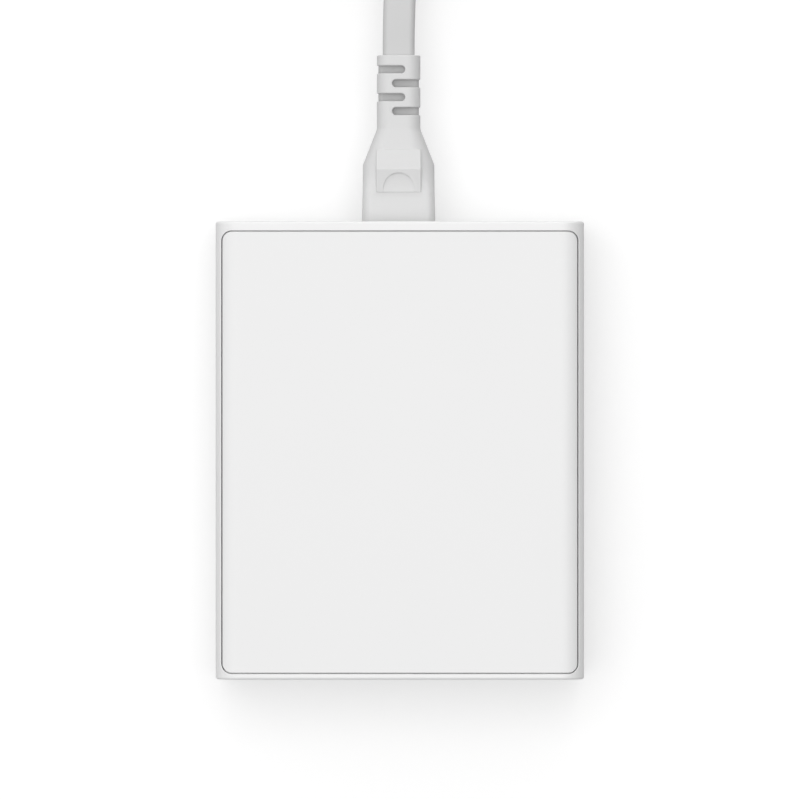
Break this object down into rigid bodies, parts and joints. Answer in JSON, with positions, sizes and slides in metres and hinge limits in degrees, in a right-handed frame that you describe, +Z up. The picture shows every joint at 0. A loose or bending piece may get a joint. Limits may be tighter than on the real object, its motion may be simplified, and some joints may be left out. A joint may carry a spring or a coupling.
{
  "type": "usb-c charger",
  "caption": "Flat white desktop USB charger with an inset top cover, USB-C and USB-A ports in front, and a detachable flat mains lead with a slotted strain relief, coiled and tied.",
  "frame": {"origin": "under the middle of the housing, on the surface that its feet stand on", "axes": "+Z up; +Y from the port face to the mains inlet, along the lead; +X to the right when the charger is seen from above with its lead at the top"},
  "size_m": [0.1038, 0.2932, 0.0295],
  "materials": {
    "housing": "satin white",
    "cover": "fine matt white",
    "feet": "matt grey",
    "inlet": "matt white",
    "contact_pin": "nickel plated",
    "port_shell": "nickel plated",
    "usb_c_tongue": "matt black",
    "usb_a_tongue": "matt white",
    "gold_contact": "gold plated",
    "board": "green solder mask",
    "ferrite": "matt ferrite",
    "winding": "yellow tape over copper",
    "can": "dark sleeve over aluminium",
    "film": "yellow box",
    "disc": "blue epoxy",
    "fuse": "ceramic",
    "package": "black epoxy",
    "sink": "bare aluminium",
    "choke": "pressed iron powder",
    "barrier": "translucent film",
    "pad": "soft grey-blue",
    "connector": "satin white moulding",
    "cord": "satin white cord",
    "strap": "woven strap",
    "sleeve": "black insulation"
  },
  "bodies": {
    "root": {"board_pins": "gold_contact", "bridge_rectifier": "package", "bulk_capacitors": "can", "coil_tie": "strap", "cord_coil": "cord", "cord_lead": "cord", "cord_tail": "cord", "film_capacitor": "film", "fuse": "fuse", "heat_spreader": "sink", "inductor_core": "ferrite", "inductor_winding": "winding", "inlet_pins": "contact_pin", "inlet_socket": "inlet", "insulating_barrier": "barrier", "line_filter_core": "ferrite", "line_filter_windings": "winding", "lower_housing": "housing", "main_board": "board", "mains_pin_sleeves": "sleeve", "mains_plug_body": "connector", "mains_plug_pins": "contact_pin", "output_capacitors": "can", "output_inductors": "choke", "plug_contacts": "contact_pin", "plug_overmould": "connector", "port_board": "board", "rubber_feet": "feet", "safety_capacitors": "disc", "surge_disc": "disc", "switch_heat_sink": "sink", "switch_packages": "package", "thermal_pad": "pad", "top_cover": "cover", "transformer_core": "ferrite", "transformer_winding": "winding", "usb_a_contacts_1": "gold_contact", "usb_a_contacts_2": "gold_contact", "usb_a_shell_1": "port_shell", "usb_a_shell_2": "port_shell", "usb_a_tongue_1": "usb_a_tongue", "usb_a_tongue_2": "usb_a_tongue", "usb_c_contacts_1": "gold_contact", "usb_c_contacts_2": "gold_contact", "usb_c_shell_1": "port_shell", "usb_c_shell_2": "port_shell", "usb_c_tongue_1": "usb_c_tongue", "usb_c_tongue_2": "usb_c_tongue"}
  },
  "joints": []
}
